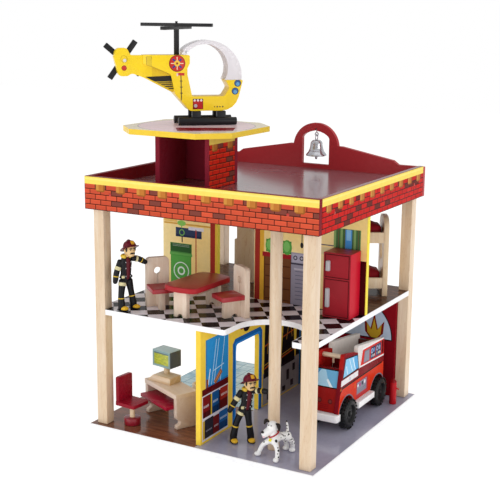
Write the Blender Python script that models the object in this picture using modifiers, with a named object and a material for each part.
"""Wooden toy fire station: a two-storey house on a square base, with a roof tower, a landing pad,
a hanging bell, a helicopter, a rolling truck, dolls' furniture, two firefighters and a spotted dog.

The frame has +Z up, the open front faces -Y, and the origin is the centre of the base's underside.
All sizes are in metres.
"""

import math

import bmesh
import bpy
from mathutils import Matrix, Vector

# Sizes that the whole toy shares
GAP = 0.0003
OVERRUN = 0.003
MERGE = 0.00002
BOARD = 0.009
EDGE = 0.0006
OVERLAP = 0.001

# Building. Insets are distances in from two sides of the base
BASE_WIDTH = 0.430
BASE_THICKNESS = 0.010
POST_WIDTH = 0.020
POST_INSET = 0.010
LOWER_ROOM = 0.196
UPPER_ROOM = 0.196
POLE_RADIUS = 0.00975
POLE_INSETS = (0.104, 0.064)
NOTCH_INSETS = (0.107, 0.050)
NOTCH_RADIUS = 0.059
NOTCH_TIP_RADIUS = 0.005
PARAPET_HEIGHT = 0.055
PARAPET_LIFT = 0.021

# Back parapet, heights above its lower edge
END_HEIGHT = 0.053
STEP_REACH = 0.049
STEP_RUN = 0.010
STEP_RISE = 0.007
SHOULDER_HALF = 0.054
SHOULDER_RISE = 0.025
ARCH_RADIUS = 0.046
ARCH_RISE = 0.020
WINDOW_HALF = 0.028
WINDOW_LOW = 0.042
WINDOW_SIDE = 0.049
WINDOW_CROWN = 0.0135
WINDOW_CROWN_SHARES = ((1, 0), (0.93, 0.24), (0.80, 0.47), (0.61, 0.69), (0.36, 0.87))
SLOT_HALF = 0.0018
SLOT_DEPTH = 0.005

# Inner walls
OFFICE_WALL_RIGHT = 0.003
OFFICE_WALL_INSET = 0.012
OFFICE_DOOR_ALONG = 0.114
OFFICE_DOOR_WIDTH = 0.081
OFFICE_DOOR_SPRING = 0.130
GARAGE_WALL_INSET = 0.026
KITCHEN_WALL_INSET = 0.018
KITCHEN_WALL_FRONT = -0.011
KITCHEN_DOOR_ALONG = 0.115
KITCHEN_DOOR_WIDTH = 0.075
KITCHEN_DOOR_SPRING = 0.135

# Roof tower and landing pad
TOWER_INSETS = (0.0755, 0.0956)
TOWER_WIDTH = 0.1068
TOWER_DEPTH = 0.0923
TOWER_HEIGHT = 0.0896
PAD_HALF = 0.1055
PAD_CHAMFER = 0.042

# Bell
HOOK_WIRE = 0.0011
HOOK_RADIUS = 0.0032
HOOK_DROP = 0.007
BELL_WIRE = 0.0010
BELL_RING_RADIUS = 0.0050
BELL_RADIUS = 0.0194
BELL_HEIGHT = 0.030
BELL_WALL = 0.0012
BELL_SHARES = ((0, 1), (0.23, 0.985), (0.44, 0.93), (0.545, 0.835), (0.585, 0.715),
               (0.62, 0.55), (0.70, 0.365), (0.775, 0.28), (0.94, 0.12), (1, 0))
CLAPPER_LENGTH = 0.036
CLAPPER_RADIUS = 0.0027
CLAPPER_SHARES = ((0, 1), (0.15, 1), (0.40, 0.98), (0.40, 0.30), (0.95, 0.18), (1, 0.12), (0.75, 0.04), (0, 0))

# Helicopter, along from the middle of its skids and up from its belly
HELI_SHIFT = (-0.0036, 0.0326)
HELI_HEADING = 44
HELI_LENGTH = 0.2155
HELI_HEIGHT = 0.0926
CABIN_THICKNESS = 0.035
BOOM_THICKNESS = 0.0155
TAPER_REAR_SHARE = -0.4965
TAPER_FRONT_SHARE = -0.427
CABIN_SHARES = ((-0.4965, 1, 0), (-0.4965, 0.842, 0), (-0.427, 0.798, 0), (-0.288, 0.661, 0.043),
                (-0.257, 0.313, 0.108), (-0.137, 0, 0.086), (0.2255, 0, 0.324), (0.286, 0.552, 0.016),
                (0.1455, 0.552, 0.016), (0.180, 0.416, 0.054), (0.139, 0.261, 0.065),
                (-0.120, 0.261, 0.022), (-0.157, 0.653, 0.065), (-0.157, 0.767, 0.043),
                (-0.138, 0.853, 0.043), (-0.138, 1, 0.027))
BOOM_SHARES = ((-0.232, 0.9925, 0), (-0.5916, 0.9925, 0.065), (-0.6195, 1.121, 0.065),
               (-0.7007, 1.121, 0.086), (-0.7206, 0.961, 0.054), (-0.6812, 0.622, 0.070),
               (-0.6148, 0.626, 0.054), (-0.5824, 0.675, 0.086), (-0.4826, 0.590, 0.216),
               (-0.2756, 0.340, 0), (-0.2088, 0.340, 0))
SKID_RADIUS = 0.0065
SKID_LENGTH = 0.0996
SKID_SPREAD = 0.020
STRUT_HEIGHT = 0.0103
STRUT_LENGTH = 0.015
STRUT_SHARES = (-0.0854, 0.1128)
STRUT_REACH = 0.009
MAST_ALONG = -0.049
MAST_RADIUS = 0.0045
MAST_HEIGHT = 0.0415
MAST_SOCKET = 0.010
ROTOR_LENGTH = 0.126
ROTOR_WIDTH = 0.009
ROTOR_THICKNESS = 0.0055
ROTOR_TURN = 58.7
ROTOR_NUT_RADIUS = 0.0022
ROTOR_NUT_HEIGHT = 0.003
TAIL_PLACE_SHARES = (-0.6381, 0.903)
TAIL_ARM = 0.038
TAIL_WIDTH = 0.0093
TAIL_THICKNESS = 0.005
TAIL_TURNS = (54.5, 139.5)
TAIL_STANDOFF = 0.0075
TAIL_PIN_RADIUS = 0.0017
TAIL_PIN_HEAD = 0.0029
CANOPY_OUTER_RADIUS = 0.060
CANOPY_INNER_RADIUS = 0.0395
CANOPY_OUTER_CENTRE_SHARES = (-0.0023, 0.6166)
CANOPY_INNER_CENTRE_SHARES = (-0.0186, 0.7678)
CANOPY_REAR = -0.0405
CANOPY_NOSE_INNER = 0.0300
CANOPY_WALL = 0.0015

# Truck, along from its rear end and up from the floor
TRUCK_INSETS = (0.068, 0.064)
TRUCK_HEADING = -90
TRUCK_WIDTH = 0.056
TRUCK_LENGTH = 0.193
TRUCK_HEIGHT = 0.1344
TRUCK_BOARD = 0.008
TRUCK_SIDE_SHARES = ((0, 0.897, 0.015), (0.606, 1.003, 0.022), (0.606, 0.921, 0), (0.896, 1, 0.03),
                     (1, 0.257, 0), (0.85, 0.257, 0), (0.70, 0.283, 0), (0, 0.283, 0))
TRUCK_FRONT_TOP_SHARE = 0.804
TRUCK_FRONT_SETBACK = 0.002
TRUCK_DECK_HEIGHT = 0.038
TRUCK_BED_HEIGHT = 0.075
TRUCK_BED_TOP = 0.112
TRUCK_BED_LENGTH = 0.116
WHEEL_RADIUS = 0.0265
WHEEL_WIDTH = 0.014
WHEEL_OUTSET = 0.009
WHEEL_BORE = 0.0035
WHEEL_SHARES = ((0.58, 0.36), (0.62, 0.50), (0.90, 0.50), (0.985, 0.38), (1, 0.12),
                (1, -0.12), (0.985, -0.38), (0.90, -0.50), (0.62, -0.50), (0.58, -0.36))
WHEEL_PLACES = (0.0265, 0.158)
WHEEL_ARCH_RADIUS = 0.031
AXLE_RADIUS = 0.0030
AXLE_BLOCK_LENGTH = 0.012
BUMPER_WIDTH = 0.060
BUMPER_DEPTH = 0.015
BUMPER_HEIGHT = 0.013
BUMPER_LAP = 0.007
BUMPER_CORNER = 0.006
CROSSBAR_RADIUS = 0.004
CROSSBAR_ALONG = 0.156
CROSSBAR_HEIGHT = 0.1245
CROSSBAR_PEG_RADIUS = 0.0018
CROSSBAR_PEG_LENGTH = 0.013
STEP_BOARD_REAR = 0.0585
STEP_BOARD_FRONT = 0.126
STEP_BOARD_HEIGHT = 0.012
STEP_BOARD_OUTSET = 0.009

# Dolls' furniture on the upper floor
FRIDGE_INSET = 0.069
FRIDGE_STANDOFF = 0.042
FRIDGE_SIZE = (0.049, 0.040, 0.110)
FRIDGE_SPLIT_SHARE = 0.62
FRIDGE_MARGIN = 0.0025
FRIDGE_GROOVE = 0.0012
FRIDGE_HANDLE_WIDTH = 0.007
FRIDGE_HANDLE_DEPTH = 0.0045
FRIDGE_HANDLE_HEIGHTS = (0.032, 0.0175)
FRIDGE_HANDLE_INSET = 0.0055
TABLE_INSETS = (0.1675, 0.084)
TABLE_HEADING = 86.5
TABLE_LENGTH = 0.119
TABLE_WIDTH = 0.066
TABLE_HEIGHT = 0.053
TABLE_BULGE = 0.008
TABLE_CORNER = 0.010
TABLE_LEG_WIDTH = 0.026
TABLE_LEG_REACH = 0.050
TABLE_FOOT_ARCH = 0.006
TABLE_STRETCHER = 0.014
CHAIR_INSETS = ((0.0929, 0.0753), (0.2419, 0.0935))
CHAIR_HEADINGS = (230, 149)
CHAIR_WIDTH = 0.040
CHAIR_HEIGHT = 0.085
CHAIR_CORNER = 0.007
CHAIR_SEAT_DEPTH = 0.041
CHAIR_SEAT_TOP = 0.0395
CHAIR_SEAT_THICKNESS = 0.008
CHAIR_RIB_LENGTH = 0.030
CHAIR_RIB_ARCH = 0.006
KEYHOLE_RADIUS = 0.0063
KEYHOLE_HEIGHT = 0.062
KEYHOLE_SLIT = 0.0016
BED_INSETS = (0.028, 0.089)
BED_HEADING = 31
BED_LENGTH = 0.120
BED_WIDTH = 0.060
BED_HEIGHT = 0.142
BED_CORNER = 0.022
BED_HOLE_LOW = 0.062
BED_HOLE_HIGH = 0.090
BED_HOLE_MARGIN = 0.0155
BED_RAIL_HEIGHT = 0.019
BED_RAIL_LOWS = (0.014, 0.096)
BED_RAIL_THICKNESS = 0.006
BED_SLAT_THICKNESS = 0.005
MATTRESS_THICKNESS = 0.026
MATTRESS_CROWN = 0.009
MATTRESS_DRAW = 0.0025
MATTRESS_MARGIN = 0.0015
LOCKER_INSETS = (0.1115, 0.130)
LOCKER_WIDTH = 0.0415
LOCKER_DEPTH = 0.030
LOCKER_HEIGHT = 0.128
LOCKER_SHOULDER = 0.005
LOCKER_SHOULDER_HEIGHT = 0.079

# Dolls' furniture on the ground floor
DESK_INSETS = (0.049, 0.0955)
DESK_HEADING = -25.87
DESK_LENGTH = 0.108
DESK_DEPTH = 0.045
DESK_HEIGHT = 0.062
DESK_SIDE_SHARES = ((0.03, 1, 0), (0.03, 0.34, 0.10), (0.21, 0.28, 0.08), (0.21, 0.17, 0.05),
                    (0.06, 0.10, 0.04), (0.05, 0, 0), (0.97, 0, 0), (0.97, 1, 0))
SHELF_HEIGHT = 0.034
SHELF_THICKNESS = 0.006
SHELF_LIP = 0.014
SHELF_DEPTH = 0.030
CLEAT = 0.004
MONITOR_BASE_INSETS = (0.093, 0.101)
MONITOR_BASE_HEADING = -8
MONITOR_BASE_SIZE = (0.039, 0.029, 0.012)
MONITOR_BASE_SPREAD = 0.015
MONITOR_NECK_RADIUS = 0.0055
MONITOR_NECK_HEIGHT = 0.014
MONITOR_BOX_INSETS = (0.0875, 0.109)
MONITOR_BOX_HEADING = -9
MONITOR_BOX_SIZE = (0.042, 0.029, 0.030)
MONITOR_SCREEN_MARGIN = 0.004
MONITOR_SCREEN_DEPTH = 0.0008
OFFICE_CHAIR_INSETS = (0.0647, 0.0359)
OFFICE_CHAIR_HEADING = -5
OFFICE_CHAIR_FOOT_RADIUS = 0.0142
OFFICE_CHAIR_FOOT_HEIGHT = 0.0125
OFFICE_CHAIR_STEM_RADIUS = 0.0045
OFFICE_CHAIR_SEAT_UNDER = 0.0335
OFFICE_CHAIR_SEAT_SIZE = (0.042, 0.040, 0.006)
OFFICE_CHAIR_SEAT_SHIFT = (-0.0034, 0.0033)
OFFICE_CHAIR_BACK_HEIGHT = 0.044
OFFICE_CHAIR_BACK_WIDTH = 0.036
OFFICE_CHAIR_CORNER = 0.003
TOILET_INSETS = (0.089, 0.215)
TOILET_BOWL_RADII = (0.013, 0.016)
TOILET_HEIGHT = 0.024
TOILET_TANK_SIZE = (0.028, 0.011, 0.040)
TOILET_WELL_DEPTH = 0.010
TOILET_RIM = 0.004
EXTINGUISHER_INSETS = (0.017, 0.070)
EXTINGUISHER_RADIUS = 0.0065
EXTINGUISHER_HEIGHT = 0.048
EXTINGUISHER_SHARES = ((0, 1), (0.34, 1), (0.40, 0.965), (0.72, 0.945), (0.95, 0.89), (1, 0.83),
                       (1, 0.03), (0.90, 0), (0, 0))
NOZZLE_RADIUS = 0.0013
NOZZLE_LENGTH = 0.012

# Figures, in shares of their height: across the photograph's view, away from it, and up
FIGURE_HEIGHT = 0.120
FIGURE_HEADING = 29.4
UPPER_FIGURE_INSETS = (0.0624, 0.0305)
LOWER_FIGURE_STANDOFF = 0.0497
LOWER_FIGURE_INSET = 0.0615
UPPER_POSE_SHARES = {
    "head": (0.036, 0, 0.853), "neck": (-0.015, 0, 0.765), "chest": (-0.020, 0, 0.665),
    "hips": (-0.030, 0, 0.440),
    "left_shoulder": (-0.100, -0.02, 0.700), "left_elbow": (-0.150, -0.05, 0.550),
    "left_hand": (-0.160, -0.06, 0.420),
    "right_shoulder": (0.070, 0.02, 0.735), "right_elbow": (0.160, 0.06, 0.715),
    "right_hand": (0.226, 0.097, 0.672),
    "left_hip": (-0.065, -0.02, 0.420), "left_knee": (-0.090, -0.055, 0.215),
    "left_ankle": (-0.080, -0.065, 0.075),
    "right_hip": (0.015, 0.02, 0.420), "right_knee": (0.050, 0.05, 0.235),
    "right_ankle": (0.075, 0.065, 0.075)}
LOWER_POSE_SHARES = {
    "head": (0.105, -0.02, 0.855), "neck": (0.070, 0, 0.770), "chest": (0.070, 0, 0.690),
    "hips": (0.040, 0, 0.480),
    "left_shoulder": (-0.015, 0, 0.735), "left_elbow": (-0.105, -0.02, 0.590),
    "left_hand": (-0.165, -0.04, 0.475),
    "right_shoulder": (0.155, -0.02, 0.760), "right_elbow": (0.240, -0.08, 0.775),
    "right_hand": (0.325, -0.145, 0.790),
    "left_hip": (0.000, 0, 0.460), "left_knee": (-0.078, -0.02, 0.290),
    "left_ankle": (-0.120, -0.010, 0.080),
    "right_hip": (0.075, 0, 0.460), "right_knee": (0.095, 0.0, 0.290),
    "right_ankle": (0.125, 0.015, 0.080)}
FIGURE_LIMB_SHARES = (
    ("left_shoulder", "left_elbow", 0.046, 0.040), ("left_elbow", "left_hand", 0.042, 0.034),
    ("right_shoulder", "right_elbow", 0.046, 0.040), ("right_elbow", "right_hand", 0.042, 0.034),
    ("left_hip", "left_knee", 0.058, 0.048), ("left_knee", "left_ankle", 0.050, 0.046),
    ("right_hip", "right_knee", 0.058, 0.048), ("right_knee", "right_ankle", 0.050, 0.046))
FIGURE_TORSO_SHARES = (0.105, 0.080)
FIGURE_HEAD_SHARE = 0.088
FIGURE_HAND_SHARE = 0.040
FIGURE_NECK_SHARE = 0.040
FIGURE_HELMET_SHARES = ((0, 1), (0.35, 0.95), (0.66, 0.78), (0.85, 0.50), (0.92, 0.18),
                        (1.30, 0.06), (1.32, 0), (0, 0))
FIGURE_HELMET_HEIGHT_SHARE = 0.090
FIGURE_HELMET_RADIUS_SHARE = 0.095
FIGURE_BOOT_SHARES = (0.052, 0.085, 0.050)

# Dog, in shares of its length from nose to rump
DOG_INSETS = (0.085, 0.038)
DOG_LENGTH = 0.050
DOG_BALL_SHARES = (
    ((-0.22, -0.20, 0.90), (0.19, 0.19, 0.18)), ((-0.39, -0.24, 0.80), (0.14, 0.11, 0.10)),
    ((-0.12, -0.16, 0.62), (0.16, 0.15, 0.19)), ((0.34, 0.12, 0.64), (0.19, 0.17, 0.17)),
    ((-0.10, -0.04, 0.98), (0.06, 0.045, 0.12)), ((-0.24, -0.36, 0.98), (0.06, 0.045, 0.12)),
    ((-0.60, 0.04, 0.075), (0.11, 0.08, 0.075)), ((-0.03, -0.48, 0.075), (0.11, 0.08, 0.075)),
    ((0.52, 0.24, 0.075), (0.11, 0.08, 0.075)), ((0.40, 0.46, 0.075), (0.11, 0.08, 0.075)))
DOG_LIMB_SHARES = (
    ((-0.12, -0.16, 0.62), (0.34, 0.12, 0.64), 0.155, 0.150),
    ((-0.22, -0.20, 0.86), (-0.12, -0.16, 0.60), 0.100, 0.130),
    ((-0.16, -0.14, 0.60), (-0.44, 0.02, 0.40), 0.105, 0.075),
    ((-0.44, 0.02, 0.40), (-0.56, 0.04, 0.08), 0.075, 0.070),
    ((-0.10, -0.22, 0.60), (0.00, -0.40, 0.40), 0.105, 0.075),
    ((0.00, -0.40, 0.40), (0.00, -0.46, 0.08), 0.075, 0.070),
    ((0.36, 0.10, 0.62), (0.44, 0.18, 0.38), 0.120, 0.075),
    ((0.44, 0.18, 0.38), (0.55, 0.24, 0.08), 0.075, 0.070),
    ((0.34, 0.18, 0.62), (0.34, 0.38, 0.38), 0.120, 0.075),
    ((0.34, 0.38, 0.38), (0.43, 0.46, 0.08), 0.075, 0.070),
    ((0.36, 0.16, 0.72), (0.30, 0.16, 1.08), 0.050, 0.028))

# Counts
ROUND_STEPS = 24
SMALL_STEPS = 12
WHEEL_STEPS = 28
CORNER_STEPS = 4
ARCH_STEPS = 12

# Heights that follow
HALF = BASE_WIDTH / 2
FLOOR = BASE_THICKNESS
MID_LOW = FLOOR + LOWER_ROOM
MID_TOP = MID_LOW + BOARD
ROOF_LOW = MID_TOP + UPPER_ROOM
ROOF_TOP = ROOF_LOW + BOARD
PARAPET_LOW = ROOF_TOP + PARAPET_LIFT - PARAPET_HEIGHT
PAD_LOW = ROOF_TOP + TOWER_HEIGHT
PAD_TOP = PAD_LOW + BOARD
POST_OUTER = HALF - POST_INSET
POST_INNER = POST_OUTER - POST_WIDTH
KITCHEN_WALL_LEFT = KITCHEN_WALL_INSET - HALF
UPRIGHT = Matrix.Rotation(math.radians(90), 4, "X")


# Setting up
def clear_scene():
    for obj in list(bpy.data.objects):
        bpy.data.objects.remove(obj, do_unlink=True)


def new_collection(name):
    made = bpy.data.collections.new(name)
    bpy.context.scene.collection.children.link(made)
    return made


def paint(name, colour, roughness=0.5, metallic=0.0):
    """One Principled material of its own for each finish."""
    mat = bpy.data.materials.new(name)
    mat.use_nodes = True
    shader = mat.node_tree.nodes["Principled BSDF"]
    shader.inputs["Base Color"].default_value = (*colour, 1)
    shader.inputs["Roughness"].default_value = roughness
    shader.inputs["Metallic"].default_value = metallic
    mat.diffuse_color = (*colour, 1)
    return mat


clear_scene()
PARTS = new_collection("toy_fire_station")
TOOLS = new_collection("cutters_and_guides")


def add_mesh(name, bm, colour=None, place=Matrix()):
    """A part when it has a colour (and then any finish), otherwise a tool for a Boolean."""
    mesh = bpy.data.meshes.new(name)
    bm.to_mesh(mesh)
    bm.free()
    obj = bpy.data.objects.new(name, mesh)
    obj.matrix_world = place
    if colour is None:
        TOOLS.objects.link(obj)
        obj.hide_render = True
        obj.display_type = "WIRE"
    else:
        PARTS.objects.link(obj)
        mesh.materials.append(paint(name, *colour))
    mesh.shade_smooth()
    mesh.set_sharp_from_angle(angle=math.radians(35))
    return obj


# Frames
def frame(place, height=0.0, heading=0.0):
    """Stands at a place on a level, its X along the heading in degrees, its Z up."""
    at = Matrix.Translation((place[0], place[1], height))
    return at @ Matrix.Rotation(math.radians(heading), 4, "Z")


def moved(base, x=0.0, y=0.0, z=0.0):
    return base @ Matrix.Translation((x, y, z))


def inside(insets, corner):
    """A place this far in from the two sides that meet at a corner such as "front left"."""
    x = HALF - insets[0]
    y = HALF - insets[1]
    return (-x if "left" in corner else x), (-y if "front" in corner else y)


def tower_middle():
    left, front = inside(TOWER_INSETS, "front left")
    return left + TOWER_WIDTH / 2, front + TOWER_DEPTH / 2


# Shapes
def block(name, low, high, colour=None, place=Matrix(), edge=EDGE):
    """A board or block between two corners, its edges slightly eased."""
    low = Vector(low)
    high = Vector(high)
    bm = bmesh.new()
    bmesh.ops.create_cube(bm, size=1)
    bmesh.ops.scale(bm, vec=high - low, verts=bm.verts)
    bmesh.ops.translate(bm, vec=(low + high) / 2, verts=bm.verts)
    if edge:
        bmesh.ops.bevel(bm, geom=bm.edges[:] + bm.verts[:], offset=edge, segments=1,
                        affect="EDGES", profile=0.5, material=-1)
    return add_mesh(name, bm, colour, place)


def rod(name, start, end, radius, colour=None, place=Matrix(), tip=None, sides=SMALL_STEPS):
    """A dowel, or a cone when it has another radius at its tip."""
    start = Vector(start)
    end = Vector(end)
    along = end - start
    turn = along.to_track_quat("Z", "Y").to_matrix().to_4x4()
    bm = bmesh.new()
    bmesh.ops.create_cone(bm, cap_ends=True, segments=sides, radius1=radius,
                          radius2=radius if tip is None else tip, depth=along.length,
                          matrix=Matrix.Translation((start + end) / 2) @ turn)
    return add_mesh(name, bm, colour, place)


def ball(name, centre, radii, colour=None, place=Matrix(), sides=SMALL_STEPS):
    bm = bmesh.new()
    bmesh.ops.create_uvsphere(bm, u_segments=sides, v_segments=sides // 2 + 1, radius=1)
    bmesh.ops.scale(bm, vec=radii, verts=bm.verts)
    bmesh.ops.translate(bm, vec=centre, verts=bm.verts)
    return add_mesh(name, bm, colour, place)


def plate(name, outlines, thickness, colour=None, place=Matrix()):
    """A flat outline, with holes where inner outlines are given, half its thickness to each side."""
    curve = bpy.data.curves.new(name, "CURVE")
    curve.dimensions = "2D"
    curve.fill_mode = "BOTH"
    curve.extrude = thickness / 2
    for points in outlines:
        spline = curve.splines.new("POLY")
        spline.points.add(len(points) - 1)
        for target, point in zip(spline.points, points):
            target.co = (point[0], point[1], 0, 1)
        spline.use_cyclic_u = True
    guide = bpy.data.objects.new(name + "_outline", curve)
    TOOLS.objects.link(guide)
    bpy.context.view_layer.update()
    found = bpy.data.meshes.new_from_object(guide.evaluated_get(bpy.context.evaluated_depsgraph_get()))
    bpy.data.objects.remove(guide, do_unlink=True)
    bm = bmesh.new()
    bm.from_mesh(found)
    bmesh.ops.remove_doubles(bm, verts=bm.verts, dist=MERGE)
    return add_mesh(name, bm, colour, place)


def turned(name, profile, colour=None, place=Matrix(), steps=ROUND_STEPS, closed=False):
    """A profile of (radius, height) points, down its outer side, turned about Z."""
    bm = bmesh.new()
    points = [bm.verts.new((radius, 0, height)) for radius, height in profile]
    for first, second in zip(points, points[1:]):
        bm.edges.new((first, second))
    if closed:
        bm.edges.new((points[-1], points[0]))
    obj = add_mesh(name, bm, colour, place)
    screw = obj.modifiers.new("turn", "SCREW")
    screw.steps = steps
    screw.render_steps = steps
    screw.use_merge_vertices = True
    screw.merge_threshold = MERGE
    return obj


def combine(body, operation, tools):
    for tool in tools:
        modifier = body.modifiers.new(operation.lower(), "BOOLEAN")
        modifier.operation = operation
        modifier.solver = "EXACT"
        modifier.object = tool
    return body


def fuse(body, *tools):
    return combine(body, "UNION", tools)


def cut(body, *tools):
    return combine(body, "DIFFERENCE", tools)


# Outlines
def arc(centre, radius, start, stop, steps=ARCH_STEPS):
    """Points of an arc between two angles in degrees, both ends included."""
    angles = [math.radians(start + (stop - start) * i / steps) for i in range(steps + 1)]
    return [(centre[0] + radius * math.cos(a), centre[1] + radius * math.sin(a)) for a in angles]


def rectangle(x_low, y_low, x_high, y_high):
    return [(x_low, y_low), (x_high, y_low), (x_high, y_high), (x_low, y_high)]


def rounded(corners, steps=CORNER_STEPS):
    """A closed outline from corners (x, y, radius), each sharp corner replaced by its arc."""
    points = []
    for i, (x, y, radius) in enumerate(corners):
        here = Vector((x, y))
        if not radius:
            points.append(tuple(here))
            continue
        before = (Vector(corners[i - 1][:2]) - here).normalized()
        after = (Vector(corners[(i + 1) % len(corners)][:2]) - here).normalized()
        half = before.angle(after) / 2
        centre = here + (before + after).normalized() * radius / math.sin(half)
        first = here + before * radius / math.tan(half) - centre
        last = here + after * radius / math.tan(half) - centre
        turn = math.atan2(first.x * last.y - first.y * last.x, first.dot(last))
        for step in range(steps + 1):
            offset = Matrix.Rotation(turn * step / steps, 2) @ first
            points.append(tuple(centre + offset))
    return points


def scaled(shares, length, height):
    """Corners in shares of a length and a height, made real sizes."""
    return [(x * length, y * height, radius * height) for x, y, radius in shares]


# Finishes: colour, roughness, metallic
PINE = ((0.80, 0.67, 0.47), 0.55)
WHITE = ((0.90, 0.90, 0.92), 0.35)
BRICK = ((0.70, 0.07, 0.03), 0.40)
PLUM = ((0.20, 0.07, 0.09), 0.20)
DARK_RED = ((0.28, 0.01, 0.015), 0.40)
CREAM = ((0.77, 0.71, 0.58), 0.30)
YELLOW = ((0.90, 0.62, 0.04), 0.40)
OCHRE = ((0.78, 0.48, 0.14), 0.45)
RED = ((0.45, 0.02, 0.03), 0.35)
TRUCK_RED = ((0.56, 0.03, 0.02), 0.35)
BLACK = ((0.02, 0.02, 0.025), 0.40)
SILVER = ((0.70, 0.70, 0.72), 0.25, 1.0)
FROSTED = ((0.80, 0.77, 0.78), 0.30)
TEAL = ((0.21, 0.39, 0.39), 0.45)
SKIN = ((0.80, 0.57, 0.32), 0.50)


# Building
def make_base():
    block("base_board", (-HALF, -HALF, 0), (HALF, HALF, BASE_THICKNESS), WHITE)


def make_posts():
    for across in ("left", "right"):
        for along in ("front", "back"):
            x = POST_INNER if across == "right" else -POST_OUTER
            y = POST_INNER if along == "back" else -POST_OUTER
            block("corner_post_" + along + "_" + across, (x, y, FLOOR + GAP),
                  (x + POST_WIDTH, y + POST_WIDTH, ROOF_LOW - GAP), PINE)


def make_pole():
    rod("fire_pole", (0, 0, FLOOR + GAP), (0, 0, ROOF_LOW - GAP), POLE_RADIUS, PINE,
        frame(inside(POLE_INSETS, "front right")), sides=ROUND_STEPS)


def make_mid_floor():
    """Square floor with a notch round each post and a round-ended notch for the pole."""
    out = POST_OUTER
    notch = POST_INNER - GAP
    centre = inside(NOTCH_INSETS, "front right")
    left = centre[0] - NOTCH_RADIUS
    right = centre[0] + NOTCH_RADIUS
    corners = [(-notch, -out, 0), (left, -out, NOTCH_TIP_RADIUS)]
    corners += [(x, y, 0) for x, y in arc(centre, NOTCH_RADIUS, 180, 0, 2 * ARCH_STEPS)]
    corners += [(right, -out, NOTCH_TIP_RADIUS), (notch, -out, 0), (notch, -notch, 0), (out, -notch, 0),
                (out, notch, 0), (notch, notch, 0), (notch, out, 0), (-notch, out, 0),
                (-notch, notch, 0), (-out, notch, 0), (-out, -notch, 0), (-notch, -notch, 0)]
    plate("mid_floor", [rounded(corners)], BOARD, WHITE, frame((0, 0), MID_LOW + BOARD / 2))


def make_roof():
    half = HALF - BOARD - GAP
    block("roof_board", (-half, -half, ROOF_LOW), (half, half, ROOF_TOP), PLUM)


def make_plain_parapets():
    """The front one spans the width, the side ones stand between it and the back one."""
    low = PARAPET_LOW
    high = PARAPET_LOW + PARAPET_HEIGHT
    side = HALF - BOARD - GAP
    block("parapet_front", (-HALF, -HALF, low), (HALF, BOARD - HALF, high), BRICK)
    block("parapet_left", (-HALF, -side, low), (BOARD - HALF, side, high), BRICK)
    block("parapet_right", (HALF - BOARD, -side, low), (HALF, side, high), BRICK)


def mirrored(half_points):
    """An outline from its right half, given from the bottom up."""
    return half_points + [(-x, y) for x, y in reversed(half_points)]


def make_back_parapet():
    """Stepped and sloping top with a round arch over the pointed bell window."""
    step = HALF - STEP_REACH
    shoulder = END_HEIGHT + SHOULDER_RISE
    centre = (0, END_HEIGHT + ARCH_RISE)
    spring = math.degrees(math.asin((shoulder - centre[1]) / ARCH_RADIUS))
    top = arc(centre, ARCH_RADIUS, spring, 90, ARCH_STEPS)[:-1]
    outline = mirrored([(HALF, 0), (HALF, END_HEIGHT), (step, END_HEIGHT),
                        (step - STEP_RUN, END_HEIGHT + STEP_RISE), (SHOULDER_HALF, shoulder)] + top)
    side = WINDOW_LOW + WINDOW_SIDE
    apex = side + WINDOW_CROWN
    crown = [(x * WINDOW_HALF, side + y * WINDOW_CROWN) for x, y in WINDOW_CROWN_SHARES]
    window = mirrored([(WINDOW_HALF, WINDOW_LOW)] + crown + [(SLOT_HALF, apex), (SLOT_HALF, apex + SLOT_DEPTH)])
    place = frame((0, HALF - BOARD / 2), PARAPET_LOW) @ UPRIGHT
    plate("parapet_back", [outline, window], BOARD, BRICK, place)


def door_wall(name, span, door, spring, height, colour, place):
    """A wall from span[0] to span[1] with a round-topped doorway open at the floor."""
    radius = (door[1] - door[0]) / 2
    middle = ((door[0] + door[1]) / 2, spring)
    outline = [(span[0], GAP), (door[0], GAP)] + arc(middle, radius, 180, 0)
    outline += [(door[1], GAP), (span[1], GAP), (span[1], height - GAP), (span[0], height - GAP)]
    plate(name, [outline], BOARD, colour, place)


def make_inner_walls():
    front = OFFICE_WALL_INSET - HALF
    back = HALF - GARAGE_WALL_INSET
    door = (front + OFFICE_DOOR_ALONG, front + OFFICE_DOOR_ALONG + OFFICE_DOOR_WIDTH)
    place = frame((OFFICE_WALL_RIGHT - BOARD / 2, 0), FLOOR, 90) @ UPRIGHT
    door_wall("office_wall", (front, back), door, OFFICE_DOOR_SPRING, LOWER_ROOM, YELLOW, place)
    block("garage_wall", (OFFICE_WALL_RIGHT + GAP, back - BOARD, FLOOR + GAP),
          (POST_INNER - GAP, back, MID_LOW - GAP), DARK_RED)
    low = KITCHEN_WALL_LEFT + KITCHEN_DOOR_ALONG
    door = (low, low + KITCHEN_DOOR_WIDTH)
    place = frame((0, KITCHEN_WALL_FRONT + BOARD / 2), MID_TOP) @ UPRIGHT
    door_wall("kitchen_wall", (KITCHEN_WALL_LEFT, POST_OUTER), door, KITCHEN_DOOR_SPRING,
              UPPER_ROOM, OCHRE, place)


def make_tower():
    """Two side panels and a back panel behind them, open to the front."""
    left, front = inside(TOWER_INSETS, "front left")
    back = front + TOWER_DEPTH
    right = left + TOWER_WIDTH
    low = ROOF_TOP + GAP
    high = PAD_LOW - GAP
    block("tower_back_panel", (left, back - BOARD, low), (right, back, high), DARK_RED)
    for name, x in (("tower_left_panel", left), ("tower_right_panel", right - BOARD)):
        block(name, (x, front, low), (x + BOARD, back - BOARD - GAP, high), BRICK)


def make_helipad():
    near = PAD_HALF - PAD_CHAMFER
    far = PAD_HALF
    outline = [(near, -far), (far, -near), (far, near), (near, far),
               (-near, far), (-far, near), (-far, -near), (-near, -far)]
    plate("helipad", [outline], BOARD, CREAM, frame(tower_middle(), PAD_LOW + BOARD / 2))


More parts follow.
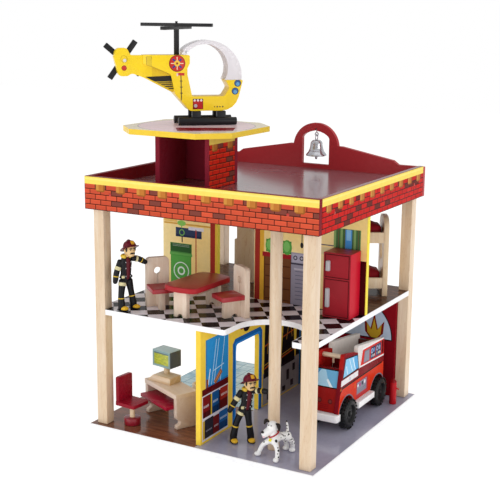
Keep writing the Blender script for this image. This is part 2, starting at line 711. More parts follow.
# Bell
def bell_levels():
    """Heights of the hook's top, of the pivot on its lowest wire and of the bell's crown."""
    slot_top = PARAPET_LOW + WINDOW_LOW + WINDOW_SIDE + WINDOW_CROWN + SLOT_DEPTH
    pivot = slot_top - SLOT_DEPTH - HOOK_DROP - HOOK_RADIUS
    crown = pivot + HOOK_WIRE + BELL_WIRE + GAP - 2 * BELL_RING_RADIUS
    return slot_top, pivot, crown


def ring(name, radius, wire, colour, place):
    """A closed wire ring about Z."""
    turn = [(radius + x, y) for x, y in arc((0, 0), wire, 90, -270, 8)[:-1]]
    return turned(name, turn, colour, place, ROUND_STEPS, closed=True)


def make_bell_hook():
    """A screw eye: its shank goes up into the slot over the window."""
    slot_top, pivot, _ = bell_levels()
    centre = frame((0, HALF - BOARD / 2), pivot + HOOK_RADIUS) @ UPRIGHT
    eye = ring("bell_hook", HOOK_RADIUS, HOOK_WIRE, SILVER, centre)
    shank = rod("bell_hook_shank", (0, HOOK_RADIUS, 0),
                (0, slot_top - GAP - pivot - HOOK_RADIUS, 0), HOOK_WIRE, None, centre, sides=8)
    fuse(eye, shank)


def make_bell():
    """Turned shell with a ring on its crown that hangs in the hook's eye."""
    _, pivot, crown = bell_levels()
    at = frame((0, HALF - BOARD / 2), pivot)
    top = crown - pivot + BELL_WIRE / 2
    outer = [(r * BELL_RADIUS, top + (z - 1) * BELL_HEIGHT) for r, z in BELL_SHARES]
    inner = [(r * (BELL_RADIUS - BELL_WALL), top - BELL_HEIGHT + z * (BELL_HEIGHT - BELL_WALL))
             for r, z in reversed(BELL_SHARES)]
    shell = turned("bell", outer + inner, SILVER, at)
    sideways = moved(at, 0, 0, crown - pivot + BELL_RING_RADIUS) @ Matrix.Rotation(math.radians(90), 4, "Y")
    fuse(shell, ring("bell_ring", BELL_RING_RADIUS, BELL_WIRE, None, sideways))
    hang = crown + BELL_WIRE / 2 - BELL_WALL - GAP
    profile = [(r * CLAPPER_RADIUS, (z - 1) * CLAPPER_LENGTH) for r, z in CLAPPER_SHARES]
    turned("bell_clapper", profile, SILVER, frame((0, HALF - BOARD / 2), hang), SMALL_STEPS)


# Helicopter
HELI_PLACE = (tower_middle()[0] + HELI_SHIFT[0], tower_middle()[1] + HELI_SHIFT[1])
SKIDS = frame(HELI_PLACE, PAD_TOP + GAP, HELI_HEADING)
BELLY = moved(SKIDS, 0, 0, 2 * SKID_RADIUS + STRUT_HEIGHT + GAP)


def make_helicopter_body():
    """Thick cabin block and thin tail boom, joined by a tapered shoulder."""
    side = BELLY @ UPRIGHT
    cabin = rounded(scaled(CABIN_SHARES, HELI_LENGTH, HELI_HEIGHT))
    boom = rounded(scaled(BOOM_SHARES, HELI_LENGTH, HELI_HEIGHT))
    body = plate("helicopter_body", [cabin], CABIN_THICKNESS, YELLOW, side)
    rear = TAPER_REAR_SHARE * HELI_LENGTH - OVERRUN
    front = TAPER_FRONT_SHARE * HELI_LENGTH
    for name, way in (("taper_left", 1), ("taper_right", -1)):
        wedge = [(rear, way * BOOM_THICKNESS / 2), (front, way * (CABIN_THICKNESS / 2 + EDGE)),
                 (front, way * (CABIN_THICKNESS / 2 + OVERRUN)), (rear, way * (CABIN_THICKNESS / 2 + OVERRUN))]
        cut(body, plate(name, [wedge], HELI_HEIGHT, None, moved(BELLY, 0, 0, HELI_HEIGHT)))
    fuse(body, plate("tail_boom", [boom], BOOM_THICKNESS, None, side))
    top = HELI_HEIGHT + OVERRUN
    cut(body, rod("mast_socket", (MAST_ALONG, 0, HELI_HEIGHT - MAST_SOCKET), (MAST_ALONG, 0, top),
                  MAST_RADIUS + GAP, None, BELLY, sides=ROUND_STEPS))
    x, z = tail_axis()
    cut(body, rod("tail_axle_hole", (x, -BOOM_THICKNESS, z), (x, BOOM_THICKNESS, z),
                  TAIL_PIN_RADIUS + GAP, None, BELLY))


def tail_axis():
    return TAIL_PLACE_SHARES[0] * HELI_LENGTH, TAIL_PLACE_SHARES[1] * HELI_HEIGHT


def make_canopy():
    """Curved clear hood: an outer band with two cheeks, open to the cabin."""
    size = Vector((HELI_LENGTH, HELI_HEIGHT))
    outer_centre = Vector(CANOPY_OUTER_CENTRE_SHARES) * size
    inner_centre = Vector(CANOPY_INNER_CENTRE_SHARES) * size
    top = HELI_HEIGHT + GAP
    nose = CABIN_SHARES[7][1] * HELI_HEIGHT + GAP
    rear_angle = math.degrees(math.acos((CANOPY_REAR - outer_centre.x) / CANOPY_OUTER_RADIUS))
    nose_angle = math.degrees(math.asin((nose - outer_centre.y) / CANOPY_OUTER_RADIUS))
    inner_nose = math.degrees(math.asin((nose - inner_centre.y) / CANOPY_INNER_RADIUS))
    inner_rear = 180 - math.degrees(math.asin((top - inner_centre.y) / CANOPY_INNER_RADIUS))
    outer = arc(outer_centre, CANOPY_OUTER_RADIUS, rear_angle, nose_angle, 2 * ARCH_STEPS)
    inner = arc(inner_centre, CANOPY_INNER_RADIUS, inner_nose, inner_rear, 2 * ARCH_STEPS)
    hood = plate("helicopter_canopy", [outer + inner + [(CANOPY_REAR, top)]], CABIN_THICKNESS,
                 FROSTED, BELLY @ UPRIGHT)
    hollow = arc(outer_centre, CANOPY_OUTER_RADIUS - CANOPY_WALL, 170, nose_angle - 20, 2 * ARCH_STEPS)
    width = CABIN_THICKNESS - 2 * CANOPY_WALL
    cut(hood, plate("canopy_hollow", [hollow], width, None, BELLY @ UPRIGHT))


def make_main_rotor():
    """Mast in its socket, two crossed blades and a nut on top; the axis is the mast's."""
    low = GAP - MAST_SOCKET
    at = moved(BELLY, MAST_ALONG, 0, HELI_HEIGHT)
    mast = rod("main_rotor", (0, 0, low), (0, 0, MAST_HEIGHT + ROTOR_THICKNESS), MAST_RADIUS, BLACK, at,
               sides=ROUND_STEPS)
    half = ROTOR_LENGTH / 2
    for level, turn in ((0, ROTOR_TURN), (1, ROTOR_TURN - 90)):
        low = MAST_HEIGHT + level * (ROTOR_THICKNESS - EDGE)
        blade = block("rotor_blade_" + str(level), (-half, -ROTOR_WIDTH / 2, low),
                      (half, ROTOR_WIDTH / 2, low + ROTOR_THICKNESS), None,
                      at @ Matrix.Rotation(math.radians(turn), 4, "Z"))
        fuse(mast, blade)
    top = MAST_HEIGHT + 2 * ROTOR_THICKNESS - EDGE
    fuse(mast, rod("rotor_nut", (0, 0, top - OVERLAP), (0, 0, top + ROTOR_NUT_HEIGHT), ROTOR_NUT_RADIUS,
                   None, at, sides=6))


def make_tail_rotor():
    """Crossed arms on the far side, their axle through the boom with a spacer and a near head."""
    x, z = tail_axis()
    at = moved(BELLY, x, 0, z) @ UPRIGHT
    near = BOOM_THICKNESS / 2
    mid = -near - TAIL_STANDOFF
    far = mid - TAIL_THICKNESS
    axle = rod("tail_rotor", (0, 0, far + OVERLAP), (0, 0, near + OVERLAP), TAIL_PIN_RADIUS, BLACK, at)
    for i, turn in enumerate(TAIL_TURNS):
        fuse(axle, block("tail_arm_" + str(i), (-TAIL_ARM, -TAIL_WIDTH / 2, far),
                         (TAIL_ARM, TAIL_WIDTH / 2, mid), None,
                         at @ Matrix.Rotation(math.radians(turn), 4, "Z")))
    fuse(axle, rod("tail_spacer", (0, 0, mid - OVERLAP), (0, 0, -near - GAP), TAIL_PIN_HEAD, None, at))
    fuse(axle, rod("tail_pin_head", (0, 0, near + GAP), (0, 0, near + 2 * OVERLAP), TAIL_PIN_HEAD, None,
                   at))


def make_skids():
    for name, way in (("skid_left", 1), ("skid_right", -1)):
        y = way * SKID_SPREAD
        skid = rod(name, (-SKID_LENGTH / 2, y, SKID_RADIUS), (SKID_LENGTH / 2, y, SKID_RADIUS),
                   SKID_RADIUS, BLACK, SKIDS, sides=ROUND_STEPS)
        for i, share in enumerate(STRUT_SHARES):
            middle = share * HELI_LENGTH
            inner = y - way * STRUT_REACH
            strut = block(name + "_strut_" + str(i), (middle - STRUT_LENGTH / 2, min(y, inner), SKID_RADIUS),
                          (middle + STRUT_LENGTH / 2, max(y, inner), 2 * SKID_RADIUS + STRUT_HEIGHT),
                          None, SKIDS)
            fuse(skid, strut)


# Truck
TRUCK = frame(inside(TRUCK_INSETS, "back right"), FLOOR + GAP, TRUCK_HEADING)


def make_truck_sides():
    inset = (TRUCK_WIDTH - TRUCK_BOARD) / 2
    outline = rounded(scaled(TRUCK_SIDE_SHARES, TRUCK_LENGTH, TRUCK_HEIGHT))
    for name, lateral in (("truck_side_left", -inset), ("truck_side_right", inset)):
        side = plate(name, [outline], TRUCK_BOARD, TRUCK_RED, moved(TRUCK, 0, lateral) @ UPRIGHT)
        for place in WHEEL_PLACES:
            cut(side, rod(name + "_arch", (place, lateral - TRUCK_BOARD, WHEEL_RADIUS),
                          (place, lateral + TRUCK_BOARD, WHEEL_RADIUS), WHEEL_ARCH_RADIUS, None, TRUCK,
                          sides=2 * ROUND_STEPS))


def truck_inner_half():
    return TRUCK_WIDTH / 2 - TRUCK_BOARD - GAP


def front_line(height):
    """How far along the slanted front edge of the sides is at a height."""
    top_x, top_share = TRUCK_SIDE_SHARES[3][:2]
    low_x, low_share = TRUCK_SIDE_SHARES[4][:2]
    share = (height / TRUCK_HEIGHT - low_share) / (top_share - low_share)
    return TRUCK_LENGTH * (low_x + share * (top_x - low_x)) - TRUCK_FRONT_SETBACK


def make_truck_front():
    low = TRUCK_SIDE_SHARES[4][1] * TRUCK_HEIGHT
    high = TRUCK_FRONT_TOP_SHARE * TRUCK_HEIGHT
    outline = [(front_line(low), low), (front_line(high), high),
               (front_line(high) - TRUCK_BOARD, high), (front_line(low) - TRUCK_BOARD, low)]
    plate("truck_front", [outline], 2 * truck_inner_half(), TRUCK_RED, TRUCK @ UPRIGHT)


def make_truck_deck():
    """Floor board, raised bed with its cab wall and tailgate, and an axle block under each end."""
    half = truck_inner_half()
    floor_low = TRUCK_DECK_HEIGHT + GAP
    floor_high = floor_low + TRUCK_BOARD
    cab_wall = TRUCK_BED_LENGTH
    deck_front = front_line(floor_high) - TRUCK_BOARD - 2 * GAP
    deck = block("truck_deck", (0, -half, floor_low), (deck_front, half, floor_high), CREAM, TRUCK, edge=0)
    fuse(deck, block("truck_bed", (0, -half, TRUCK_BED_HEIGHT - TRUCK_BOARD),
                     (cab_wall, half, TRUCK_BED_HEIGHT), None, TRUCK, edge=0))
    for name, x in (("tailgate", 0), ("cab_wall", cab_wall - TRUCK_BOARD)):
        fuse(deck, block("truck_" + name, (x, -half, floor_high - OVERLAP),
                         (x + TRUCK_BOARD, half, TRUCK_BED_TOP), None, TRUCK, edge=0))
    for i, place in enumerate(WHEEL_PLACES):
        block_low = WHEEL_RADIUS - AXLE_BLOCK_LENGTH / 2
        fuse(deck, block("axle_block_" + str(i), (place - AXLE_BLOCK_LENGTH / 2, -half, block_low),
                         (place + AXLE_BLOCK_LENGTH / 2, half, floor_low + OVERLAP), None, TRUCK, edge=0))
        reach = half + OVERRUN
        cut(deck, rod("axle_hole_" + str(i), (place, -reach, WHEEL_RADIUS), (place, reach, WHEEL_RADIUS),
                      AXLE_RADIUS + GAP, None, TRUCK))


def make_truck_trim():
    width = BUMPER_WIDTH / 2
    low = TRUCK_SIDE_SHARES[4][1] * TRUCK_HEIGHT - BUMPER_HEIGHT - GAP
    rear = TRUCK_LENGTH - BUMPER_LAP
    corners = [(rear, -width, 0), (rear + BUMPER_DEPTH, -width, BUMPER_CORNER),
               (rear + BUMPER_DEPTH, width, BUMPER_CORNER), (rear, width, 0)]
    plate("truck_bumper", [rounded(corners)], BUMPER_HEIGHT, WHITE,
          moved(TRUCK, 0, 0, low + BUMPER_HEIGHT / 2))
    half = truck_inner_half()
    bar = rod("truck_crossbar", (CROSSBAR_ALONG, -half, CROSSBAR_HEIGHT),
              (CROSSBAR_ALONG, half, CROSSBAR_HEIGHT), CROSSBAR_RADIUS, PINE, TRUCK, sides=ROUND_STEPS)
    fuse(bar, rod("crossbar_peg", (CROSSBAR_ALONG, 0, CROSSBAR_HEIGHT - CROSSBAR_PEG_LENGTH),
                  (CROSSBAR_ALONG, 0, CROSSBAR_HEIGHT), CROSSBAR_PEG_RADIUS, None, TRUCK))
    out = TRUCK_WIDTH / 2 + STEP_BOARD_OUTSET
    block("truck_running_board", (STEP_BOARD_REAR, -out, TRUCK_DECK_HEIGHT - GAP - STEP_BOARD_HEIGHT),
          (STEP_BOARD_FRONT, out, TRUCK_DECK_HEIGHT - GAP), WHITE, TRUCK)


def make_wheels():
    """Each axle turns in its block; its two wheels are pressed on its ends."""
    reach = TRUCK_WIDTH / 2 + WHEEL_OUTSET
    for end, place in zip(("rear", "front"), WHEEL_PLACES):
        axis = moved(TRUCK, place, 0, WHEEL_RADIUS)
        rod(end + "_axle", (0, -reach, 0), (0, reach, 0), AXLE_RADIUS, PINE, axis)
        for side, way in (("left", -1), ("right", 1)):
            middle = way * (reach - WHEEL_WIDTH / 2)
            profile = [(r * WHEEL_RADIUS, w * WHEEL_WIDTH) for r, w in WHEEL_SHARES]
            flat = [(WHEEL_BORE, WHEEL_SHARES[0][1] * WHEEL_WIDTH)]
            back = [(WHEEL_BORE, WHEEL_SHARES[-1][1] * WHEEL_WIDTH)]
            turned("wheel_" + end + "_" + side, flat + profile + back, BLACK,
                   moved(axis, 0, middle) @ UPRIGHT, WHEEL_STEPS, closed=True)


# Upper floor furniture
def make_fridge():
    """Solid block with two routed door outlines and a handle half-way up each."""
    width, depth, height = FRIDGE_SIZE
    at = frame((HALF - FRIDGE_INSET, KITCHEN_WALL_FRONT - FRIDGE_STANDOFF), MID_TOP + GAP)
    fridge = block("fridge", (0, 0, 0), (width, depth, height), RED, at)
    split = FRIDGE_SPLIT_SHARE * height
    doors = (("lower", FRIDGE_MARGIN, split), ("upper", split, height - FRIDGE_MARGIN))
    for (name, low, high), handle in zip(doors, FRIDGE_HANDLE_HEIGHTS):
        top = high - FRIDGE_MARGIN if name == "lower" else high
        outer = rectangle(FRIDGE_MARGIN, low, width - FRIDGE_MARGIN, top)
        ring_in = rectangle(FRIDGE_MARGIN + FRIDGE_GROOVE, low + FRIDGE_GROOVE,
                            width - FRIDGE_MARGIN - FRIDGE_GROOVE, top - FRIDGE_GROOVE)
        cut(fridge, plate("fridge_groove_" + name, [outer, ring_in], 2 * FRIDGE_GROOVE, None, at @ UPRIGHT))
        middle = (low + top) / 2
        right = FRIDGE_HANDLE_INSET + FRIDGE_HANDLE_WIDTH
        fuse(fridge, block("fridge_handle_" + name,
                           (FRIDGE_HANDLE_INSET, -FRIDGE_HANDLE_DEPTH, middle - handle / 2),
                           (right, FRIDGE_GROOVE, middle + handle / 2), None, at, edge=FRIDGE_GROOVE))


def make_table():
    """Red top with bowed ends on a trestle of two arched legs and a stretcher."""
    at = frame(inside(TABLE_INSETS, "front left"), MID_TOP + GAP, TABLE_HEADING)
    half_length = TABLE_LENGTH / 2
    half_width = TABLE_WIDTH / 2
    straight = half_length - TABLE_BULGE
    radius = (half_width ** 2 + TABLE_BULGE ** 2) / (2 * TABLE_BULGE)
    spread = math.degrees(math.asin((half_width - TABLE_CORNER / 2) / radius))
    bow = arc((half_length - radius, 0), radius, -spread, spread, CORNER_STEPS * 2)
    side = [(straight - TABLE_CORNER / 2, -half_width)] + bow + [(straight - TABLE_CORNER / 2, half_width)]
    outline = side + [(-x, -y) for x, y in side]
    top_low = TABLE_HEIGHT - BOARD
    plate("table_top", [outline], BOARD, RED, moved(at, 0, 0, top_low + BOARD / 2))
    half_leg = TABLE_LEG_WIDTH / 2
    leg = [(-half_leg, 0), (-TABLE_FOOT_ARCH, 0)] + arc((0, 0), TABLE_FOOT_ARCH, 180, 0, CORNER_STEPS * 2)[1:]
    leg += [(half_leg, 0), (half_leg, top_low - GAP), (-half_leg, top_low - GAP)]
    legs = []
    for name, way in (("table_base", 1), ("table_far_leg", -1)):
        place = moved(at, way * (TABLE_LEG_REACH - BOARD / 2)) @ Matrix.Rotation(math.radians(90), 4, "Z")
        legs.append(plate(name, [leg], BOARD, PINE if way == 1 else None, place @ UPRIGHT))
    reach = TABLE_LEG_REACH - BOARD / 2
    high = top_low - GAP * 2
    stretcher = block("table_stretcher", (-reach, -BOARD / 2, high - TABLE_STRETCHER),
                      (reach, BOARD / 2, high), None, at, edge=0)
    fuse(legs[0], stretcher, legs[1])


def make_dining_chair(name, place, heading):
    """Keyhole back board, red seat and one arched rib that carries the seat."""
    at = frame(place, MID_TOP + GAP, heading)
    half = CHAIR_WIDTH / 2
    back = rounded([(-half, 0, 0), (half, 0, 0), (half, CHAIR_HEIGHT, CHAIR_CORNER),
                    (-half, CHAIR_HEIGHT, CHAIR_CORNER)])
    slit = KEYHOLE_SLIT / 2
    lean = math.degrees(math.asin(slit / KEYHOLE_RADIUS))
    hole = arc((0, KEYHOLE_HEIGHT), KEYHOLE_RADIUS, -90 + lean, 270 - lean, 16)
    hole += [(-slit, CHAIR_SEAT_TOP), (slit, CHAIR_SEAT_TOP)]
    board = plate(name, [back, hole], BOARD, PINE, moved(at, 0, -BOARD / 2) @ UPRIGHT)
    seat_low = CHAIR_SEAT_TOP - CHAIR_SEAT_THICKNESS
    seat = block(name + "_seat", (-half, -OVERLAP, seat_low), (half, CHAIR_SEAT_DEPTH, CHAIR_SEAT_TOP), None,
                 at)
    rib = [(-OVERLAP, 0), (BOARD / 2, 0)]
    rib += arc((BOARD / 2 + CHAIR_RIB_ARCH, 0), CHAIR_RIB_ARCH, 180, 0, CORNER_STEPS * 2)[1:-1]
    rib += [(BOARD / 2 + 2 * CHAIR_RIB_ARCH, 0), (CHAIR_RIB_LENGTH, 0), (CHAIR_RIB_LENGTH, seat_low + OVERLAP),
            (-OVERLAP, seat_low + OVERLAP)]
    across = at @ Matrix.Rotation(math.radians(90), 4, "Z")
    fuse(board, seat, plate(name + "_rib", [rib], BOARD, None, across @ UPRIGHT))


def bed_panel(name, colour, place):
    """Round-shouldered end with an oval hole between the tiers."""
    half = BED_WIDTH / 2
    outline = rounded([(0, 0, 0), (BED_WIDTH, 0, 0), (BED_WIDTH, BED_HEIGHT, BED_CORNER),
                       (0, BED_HEIGHT, BED_CORNER)], 2 * CORNER_STEPS)
    radius = (BED_HOLE_HIGH - BED_HOLE_LOW) / 2
    middle = (BED_HOLE_HIGH + BED_HOLE_LOW) / 2
    reach = half - BED_HOLE_MARGIN - radius
    hole = arc((half + reach, middle), radius, -90, 90) + arc((half - reach, middle), radius, 90, 270)
    return plate(name, [outline, hole], BOARD, colour, place)


def make_bunk_bed():
    """Two end panels carry two trays of rails and a slatted board each."""
    at = frame(inside(BED_INSETS, "back right"), MID_TOP + GAP, BED_HEADING)
    turn = Matrix.Rotation(math.radians(90), 4, "Z")
    near = bed_panel("bunk_bed", PINE, moved(at, -BOARD / 2) @ turn @ UPRIGHT)
    fuse(near, bed_panel("bed_far_end", None, moved(at, BOARD / 2 - BED_LENGTH) @ turn @ UPRIGHT))
    left = BOARD - BED_LENGTH - OVERLAP
    right = OVERLAP - BOARD
    inset = BED_RAIL_THICKNESS
    for tier, low in enumerate(BED_RAIL_LOWS):
        high = low + BED_RAIL_HEIGHT
        tray = block("bed_tray_" + str(tier), (left, EDGE, low), (right, BED_WIDTH - EDGE, high), None, at,
                     edge=0)
        well = block("bed_well_" + str(tier), (left + 2 * OVERLAP, inset, low + BED_SLAT_THICKNESS),
                     (right - 2 * OVERLAP, BED_WIDTH - inset, high + OVERRUN), None, at, edge=0)
        fuse(near, cut(tray, well))


def make_mattress(name, low, colour):
    """Crowned top, sides drawn in between the corners, flat where it lies."""
    at = frame(inside(BED_INSETS, "back right"), MID_TOP + GAP, BED_HEADING)
    margin = BED_RAIL_THICKNESS + MATTRESS_MARGIN
    length = BED_LENGTH - 2 * BOARD - 2 * MATTRESS_MARGIN
    width = BED_WIDTH - 2 * margin
    bm = bmesh.new()
    bmesh.ops.create_cube(bm, size=1)
    bmesh.ops.subdivide_edges(bm, edges=bm.edges[:], cuts=3, use_grid_fill=True)
    for vert in bm.verts:
        u, v, w = vert.co * 2
        crown = MATTRESS_CROWN * (1 - u * u) * (1 - v * v) if w > 0 else 0
        waist = 1 - w * w
        bulge_x = math.copysign(MATTRESS_DRAW, u) * waist * abs(u) ** 4 / 2
        bulge_y = math.copysign(MATTRESS_DRAW, v) * waist * abs(v) ** 4 / 2
        x = u * (length / 2 - MATTRESS_DRAW * (1 - v * v)) + bulge_x
        y = v * (width / 2 - MATTRESS_DRAW * (1 - u * u)) + bulge_y
        vert.co = (x, y, (w + 1) / 2 * MATTRESS_THICKNESS + crown)
    lift = low + BED_SLAT_THICKNESS + GAP
    mattress = add_mesh(name, bm, colour, moved(at, -BED_LENGTH / 2, BED_WIDTH / 2, lift))
    smooth = mattress.modifiers.new("soften", "SUBSURF")
    smooth.levels = 1
    smooth.render_levels = 1


def make_locker():
    """Tall plain cupboard with a shoulder on its left."""
    narrow = LOCKER_SHOULDER
    outline = [(0, 0), (LOCKER_WIDTH, 0), (LOCKER_WIDTH, LOCKER_HEIGHT), (narrow, LOCKER_HEIGHT),
               (narrow, LOCKER_SHOULDER_HEIGHT), (0, LOCKER_SHOULDER_HEIGHT)]
    at = moved(frame(inside(LOCKER_INSETS, "back left"), MID_TOP + GAP), 0, LOCKER_DEPTH / 2)
    plate("locker", [outline], LOCKER_DEPTH, PINE, at @ UPRIGHT)


# Ground floor furniture
DESK = frame(inside(DESK_INSETS, "front left"), FLOOR + GAP, DESK_HEADING)


def make_desk():
    """Two curved side panels under a top, with a cleat inside each for the shelf."""
    top_low = DESK_HEIGHT - BOARD
    top = block("desk", (0, 0, top_low), (DESK_LENGTH, DESK_DEPTH, DESK_HEIGHT), PINE, DESK)
    corners = [(x * DESK_DEPTH, top_low + OVERLAP if y == 1 else y * top_low, r * top_low)
               for x, y, r in DESK_SIDE_SHARES]
    outline = rounded(corners)
    turn = Matrix.Rotation(math.radians(90), 4, "Z")
    cleat_high = SHELF_HEIGHT - GAP
    for name, middle in (("left", BOARD / 2 + EDGE), ("right", DESK_LENGTH - BOARD / 2 - EDGE)):
        side = plate("desk_side_" + name, [outline], BOARD, None, moved(DESK, middle) @ turn @ UPRIGHT)
        inner = BOARD if name == "left" else DESK_LENGTH - BOARD - CLEAT
        low_x = inner - OVERLAP if name == "left" else inner
        high_x = inner + CLEAT if name == "left" else inner + CLEAT + OVERLAP
        cleat = block("desk_cleat_" + name, (low_x, CLEAT, cleat_high - CLEAT),
                      (high_x, SHELF_DEPTH, cleat_high), None, DESK, edge=0)
        fuse(top, side, cleat)


def make_shelf():
    """Keyboard board that rests on the cleats between the side panels and sticks out in front."""
    left = BOARD + EDGE + GAP
    right = DESK_LENGTH - left
    outline = rounded([(left, -SHELF_LIP, EDGE), (right, -SHELF_LIP, EDGE), (right, SHELF_DEPTH, 0),
                       (left, SHELF_DEPTH, 0)])
    plate("keyboard_tray", [outline], SHELF_THICKNESS, RED,
          moved(DESK, 0, 0, SHELF_HEIGHT + SHELF_THICKNESS / 2))


def make_monitor():
    """Sloping base block, round neck and a box with its screen face let in."""
    low = FLOOR + DESK_HEIGHT + 2 * GAP
    at = frame(inside(MONITOR_BASE_INSETS, "front left"), low, MONITOR_BASE_HEADING)
    width, depth, height = MONITOR_BASE_SIZE
    outline = [(-width / 2 - MONITOR_BASE_SPREAD, 0), (width / 2, 0), (width / 2, height), (-width / 2, height)]
    base = plate("monitor", [outline], depth, TEAL, at @ UPRIGHT)
    neck_top = low + height + MONITOR_NECK_HEIGHT
    box_at = frame(inside(MONITOR_BOX_INSETS, "front left"), neck_top, MONITOR_BOX_HEADING)
    box_width, box_depth, box_height = MONITOR_BOX_SIZE
    neck = rod("monitor_neck", (0, 0, -MONITOR_NECK_HEIGHT - OVERLAP), (0, 0, OVERLAP), MONITOR_NECK_RADIUS,
               None, box_at)
    box = block("monitor_box", (-box_width / 2, -box_depth / 2, 0), (box_width / 2, box_depth / 2, box_height),
                None, box_at)
    edge = MONITOR_SCREEN_MARGIN
    screen = block("monitor_screen", (edge - box_width / 2, -box_depth / 2 - OVERRUN, edge),
                   (box_width / 2 - edge, MONITOR_SCREEN_DEPTH - box_depth / 2, box_height - edge),
                   None, box_at, edge=0)
    fuse(base, neck, cut(box, screen))


def make_office_chair():
    """Round foot and stem stay put, the seat with its back board turns on the stem."""
    at = frame(inside(OFFICE_CHAIR_INSETS, "front left"), FLOOR + GAP, OFFICE_CHAIR_HEADING)
    foot = rod("office_chair_base", (0, 0, 0), (0, 0, OFFICE_CHAIR_FOOT_HEIGHT), OFFICE_CHAIR_FOOT_RADIUS,
               RED, at, sides=ROUND_STEPS)
    fuse(foot, rod("office_chair_stem", (0, 0, OVERLAP), (0, 0, OFFICE_CHAIR_SEAT_UNDER - GAP),
                   OFFICE_CHAIR_STEM_RADIUS, None, at, sides=SMALL_STEPS))
    width, depth, thick = OFFICE_CHAIR_SEAT_SIZE
    shift_x, shift_y = OFFICE_CHAIR_SEAT_SHIFT
    left = shift_x - width / 2
    low = shift_y - depth / 2
    corner = OFFICE_CHAIR_CORNER
    outline = rounded([(left, low, corner), (left + width, low, corner), (left + width, low + depth, corner),
                       (left, low + depth, corner)])
    seat = plate("office_chair_seat", [outline], thick, RED,
                 moved(at, 0, 0, OFFICE_CHAIR_SEAT_UNDER + thick / 2))
    half = OFFICE_CHAIR_BACK_WIDTH / 2
    back = rounded([(-half, -OVERLAP, 0), (half, -OVERLAP, 0), (half, OFFICE_CHAIR_BACK_HEIGHT, corner),
                    (-half, OFFICE_CHAIR_BACK_HEIGHT, corner)])
    place = moved(at, left + thick / 2 + EDGE, shift_y, OFFICE_CHAIR_SEAT_UNDER + thick)
    turn = Matrix.Rotation(math.radians(90), 4, "Z")
    fuse(seat, plate("office_chair_back", [back], thick, None, place @ turn @ UPRIGHT))


def make_toilet():
    """Wooden pedestal with a shallow oval well and a tank behind it."""
    at = frame(inside(TOILET_INSETS, "back left"), FLOOR + GAP)
    across, along = TOILET_BOWL_RADII
    oval = [(across * x, along * y) for x, y in arc((0, 0), 1, 0, 360, ROUND_STEPS)[:-1]]
    inner = [(x * (across - TOILET_RIM) / across, y * (along - TOILET_RIM) / along) for x, y in oval]
    bowl = plate("toilet", [oval], TOILET_HEIGHT, PINE, moved(at, 0, 0, TOILET_HEIGHT / 2))
    cut(bowl, plate("toilet_well", [inner], 2 * TOILET_WELL_DEPTH, None, moved(at, 0, 0, TOILET_HEIGHT)))
    width, depth, height = TOILET_TANK_SIZE
    rear = along - TOILET_RIM / 2
    fuse(bowl, block("toilet_tank", (-width / 2, rear, 0), (width / 2, rear + depth, height), None, at, edge=0))


def make_extinguisher():
    at = frame(inside(EXTINGUISHER_INSETS, "back right"), FLOOR + GAP)
    profile = [(r * EXTINGUISHER_RADIUS, z * EXTINGUISHER_HEIGHT) for r, z in EXTINGUISHER_SHARES]
    bottle = turned("extinguisher", profile, RED, at, 16)
    high = 2 * EXTINGUISHER_HEIGHT / 3
    fuse(bottle, rod("extinguisher_nozzle", (0, 0, high), (NOZZLE_LENGTH, 0, high - NOZZLE_LENGTH / 4),
                     NOZZLE_RADIUS, None, at, sides=8))


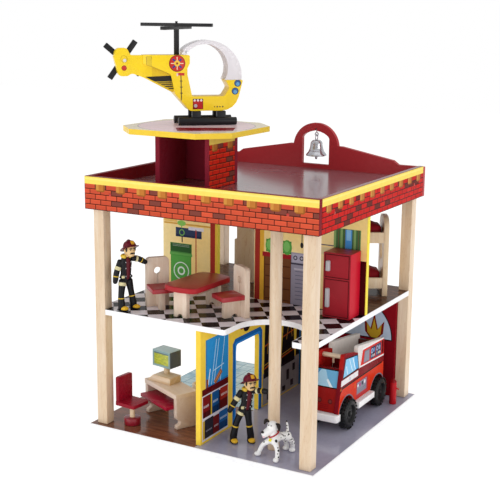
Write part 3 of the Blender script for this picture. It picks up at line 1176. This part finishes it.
# Figures
def make_figure(name, place, height, pose_shares):
    """Bendable doll: jointed limbs, torso, head under a brimmed helmet, and boots."""
    at = frame(place, height + GAP, FIGURE_HEADING)
    pose = {joint: Vector(shares) * FIGURE_HEIGHT for joint, shares in pose_shares.items()}
    wide, narrow = (share * FIGURE_HEIGHT for share in FIGURE_TORSO_SHARES)
    torso = rod(name, pose["hips"] - Vector((0, 0, narrow / 2)), pose["neck"], narrow, SKIN, at, tip=wide / 2)
    chest = ball(name + "_chest", pose["chest"], (wide, narrow, wide), None, at)
    parts = [chest]
    for start, end, first, second in FIGURE_LIMB_SHARES:
        limb = rod(name + "_" + end, pose[start], pose[end], first * FIGURE_HEIGHT, None, at,
                   tip=second * FIGURE_HEIGHT, sides=10)
        knob = ball(name + "_" + end + "_joint", pose[end], [second * FIGURE_HEIGHT * 1.04] * 3, None, at, 8)
        parts += [limb, knob]
    neck = rod(name + "_neck", pose["chest"], pose["head"], FIGURE_NECK_SHARE * FIGURE_HEIGHT, None, at,
               sides=10)
    head_radius = FIGURE_HEAD_SHARE * FIGURE_HEIGHT
    head = ball(name + "_head", pose["head"], [head_radius] * 3, None, at)
    helmet_low = pose["head"] + Vector((0, 0, head_radius / 4))
    profile = [(r * FIGURE_HELMET_RADIUS_SHARE * FIGURE_HEIGHT, z * FIGURE_HELMET_HEIGHT_SHARE * FIGURE_HEIGHT)
               for r, z in FIGURE_HELMET_SHARES]
    helmet = turned(name + "_helmet", profile, None, at @ Matrix.Translation(helmet_low), SMALL_STEPS)
    parts += [neck, head, helmet]
    across, along, up = (share * FIGURE_HEIGHT for share in FIGURE_BOOT_SHARES)
    for ankle in ("left_ankle", "right_ankle"):
        x, y, _ = pose[ankle]
        boot = ball(name + "_" + ankle + "_boot", (x, y - along / 3, up), (across, along, up), None, at)
        parts.append(boot)
    fuse(torso, *parts)


def make_dog():
    at = frame(inside(DOG_INSETS, "front right"), FLOOR + GAP, FIGURE_HEADING)
    body = None
    for i, (start, end, first, second) in enumerate(DOG_LIMB_SHARES):
        name = "dog" if body is None else "dog_limb_" + str(i)
        limb = rod(name, Vector(start) * DOG_LENGTH, Vector(end) * DOG_LENGTH, first * DOG_LENGTH,
                   WHITE if body is None else None, at, tip=second * DOG_LENGTH, sides=10)
        body = body or limb
        if limb is not body:
            fuse(body, limb)
    for i, (centre, radii) in enumerate(DOG_BALL_SHARES):
        fuse(body, ball("dog_ball_" + str(i), Vector(centre) * DOG_LENGTH, Vector(radii) * DOG_LENGTH, None,
                        at, 10))


# The whole toy
make_base()
make_posts()
make_pole()
make_mid_floor()
make_roof()
make_plain_parapets()
make_back_parapet()
make_inner_walls()
make_tower()
make_helipad()
make_bell_hook()
make_bell()
make_helicopter_body()
make_canopy()
make_main_rotor()
make_tail_rotor()
make_skids()
make_truck_sides()
make_truck_front()
make_truck_deck()
make_truck_trim()
make_wheels()
make_fridge()
make_table()
for side, insets, heading in zip(("left", "right"), CHAIR_INSETS, CHAIR_HEADINGS):
    make_dining_chair("dining_chair_" + side, inside(insets, "front left"), heading)
make_bunk_bed()
make_mattress("lower_mattress", BED_RAIL_LOWS[0], RED)
make_mattress("upper_mattress", BED_RAIL_LOWS[1], RED)
make_locker()
make_desk()
make_shelf()
make_monitor()
make_office_chair()
make_toilet()
make_extinguisher()
make_figure("firefighter_upper", inside(UPPER_FIGURE_INSETS, "front left"), MID_TOP, UPPER_POSE_SHARES)
make_figure("firefighter_lower", (OFFICE_WALL_RIGHT + LOWER_FIGURE_STANDOFF, LOWER_FIGURE_INSET - HALF),
            FLOOR, LOWER_POSE_SHARES)
make_dog()
